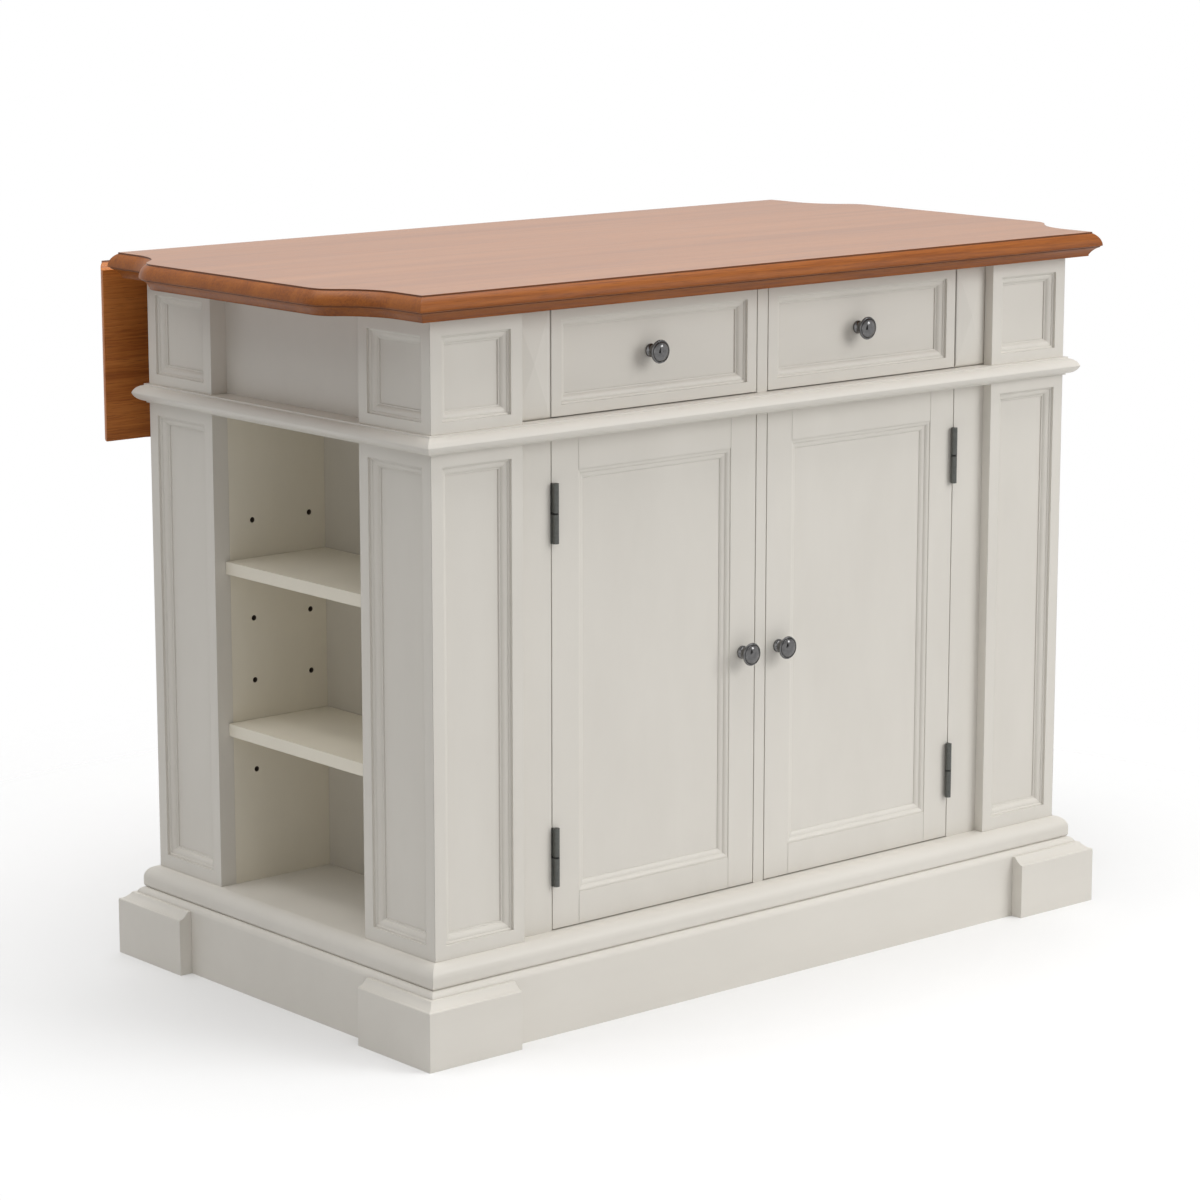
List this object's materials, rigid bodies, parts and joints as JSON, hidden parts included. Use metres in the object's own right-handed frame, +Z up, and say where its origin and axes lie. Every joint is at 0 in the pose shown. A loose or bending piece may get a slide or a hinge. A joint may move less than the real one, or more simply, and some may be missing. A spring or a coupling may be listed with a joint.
{
  "type": "drop leaf kitchen island",
  "caption": "Painted kitchen island with moulded corner posts, panelled doors, drawers, open end bays with shelves, a stained wood top with swelling ends and a hinged rear drop leaf.",
  "frame": {"origin": "on the floor, under the middle of the whole object with its leaf hanging", "axes": "+X along the width to the right seen from the front, -Y is the front with doors and drawers, +Z up"},
  "size_m": [1.241, 0.6766, 0.914],
  "materials": {
    "painted_wood": "satin antique white paint over wood",
    "stained_top": "satin stained oak, grain along the width",
    "stained_edge": "satin stained oak edge layer",
    "stained_leaf": "satin stained oak leaf",
    "bare_wood": "bare sanded wood",
    "dark_pewter": "dark pewter plated",
    "hinge_steel": "antique plated steel",
    "zinc_steel": "zinc plated steel",
    "catch_body": "moulded plastic housing"
  },
  "bodies": {
    "cabinet": {"back_panel": "painted_wood", "back_rail": "painted_wood", "base_board": "painted_wood", "bay_shelves": "painted_wood", "bay_walls": "painted_wood", "centre_shelf": "painted_wood", "countertop_board": "stained_top", "countertop_edge_layer": "stained_edge", "diamond_blocks": "painted_wood", "door_catches": "catch_body", "door_hinge_frame_leaves": "hinge_steel", "door_hinge_pins": "hinge_steel", "drawer_dividers": "painted_wood", "drawer_slide_channels": "zinc_steel", "end_panels": "painted_wood", "fixed_hardware_screws": "zinc_steel", "front_frame_stiles": "painted_wood", "front_left_post": "painted_wood", "front_right_post": "painted_wood", "leaf_hinge_pins": "hinge_steel", "leaf_hinge_top_plates": "hinge_steel", "partitions": "painted_wood", "plinth_blocks": "painted_wood", "plinth_boards": "painted_wood", "rear_left_post": "painted_wood", "rear_right_post": "painted_wood", "shelf_pins": "zinc_steel", "stay_brackets": "zinc_steel", "stay_pivot_pins": "zinc_steel", "top_fixing_cleats": "bare_wood", "upper_corner_posts": "painted_wood", "waist_board": "painted_wood"},
    "left_door": {"left_door_frame": "painted_wood", "left_door_hinge_leaves": "hinge_steel", "left_door_hinge_screws": "zinc_steel", "left_door_knob": "dark_pewter", "left_door_moulding": "painted_wood", "left_door_panel": "painted_wood", "left_door_strike": "zinc_steel"},
    "right_door": {"right_door_frame": "painted_wood", "right_door_hinge_leaves": "hinge_steel", "right_door_hinge_screws": "zinc_steel", "right_door_knob": "dark_pewter", "right_door_moulding": "painted_wood", "right_door_panel": "painted_wood", "right_door_strike": "zinc_steel"},
    "left_drawer": {"left_drawer_box": "bare_wood", "left_drawer_front": "painted_wood", "left_drawer_knob": "dark_pewter", "left_drawer_slides": "zinc_steel"},
    "right_drawer": {"right_drawer_box": "bare_wood", "right_drawer_front": "painted_wood", "right_drawer_knob": "dark_pewter", "right_drawer_slides": "zinc_steel"},
    "leaf": {"drop_leaf": "stained_leaf", "leaf_hardware_screws": "zinc_steel", "leaf_hinge_leaf_plates": "hinge_steel", "stay_tracks": "zinc_steel"},
    "left_stay": {"left_stay_arm": "zinc_steel"},
    "right_stay": {"right_stay_arm": "zinc_steel"}
  },
  "joints": [
    {"name": "left_door_hinge", "type": "hinge", "parent": "cabinet", "child": "left_door", "pos_m": [-0.339, -0.28925, 0.42], "axis": [0, 0, -1], "range_deg": [0, 110]},
    {"name": "right_door_hinge", "type": "hinge", "parent": "cabinet", "child": "right_door", "pos_m": [0.339, -0.28925, 0.42], "axis": [0, 0, 1], "range_deg": [0, 110]},
    {"name": "left_drawer_slide", "type": "slide", "parent": "cabinet", "child": "left_drawer", "axis": [0, -1, 0], "range_m": [0, 0.3]},
    {"name": "right_drawer_slide", "type": "slide", "parent": "cabinet", "child": "right_drawer", "axis": [0, -1, 0], "range_m": [0, 0.3]},
    {"name": "leaf_hinge", "type": "hinge", "parent": "cabinet", "child": "leaf", "pos_m": [0, 0.31275, 0.8885], "axis": [1, 0, 0], "range_deg": [0, 90]},
    {"name": "left_stay_pivot", "type": "hinge", "parent": "cabinet", "child": "left_stay", "pos_m": [-0.23, 0.31275, 0.7985], "axis": [1, 0, 0], "range_deg": [0, 126.89]},
    {"name": "right_stay_pivot", "type": "hinge", "parent": "cabinet", "child": "right_stay", "pos_m": [0.23, 0.31275, 0.7985], "axis": [1, 0, 0], "range_deg": [0, 126.89]}
  ],
  "couplings": [
    {"joint": "left_stay_pivot", "follows": "leaf_hinge", "ratio": 1.4097},
    {"joint": "right_stay_pivot", "follows": "leaf_hinge", "ratio": 1.4097}
  ]
}
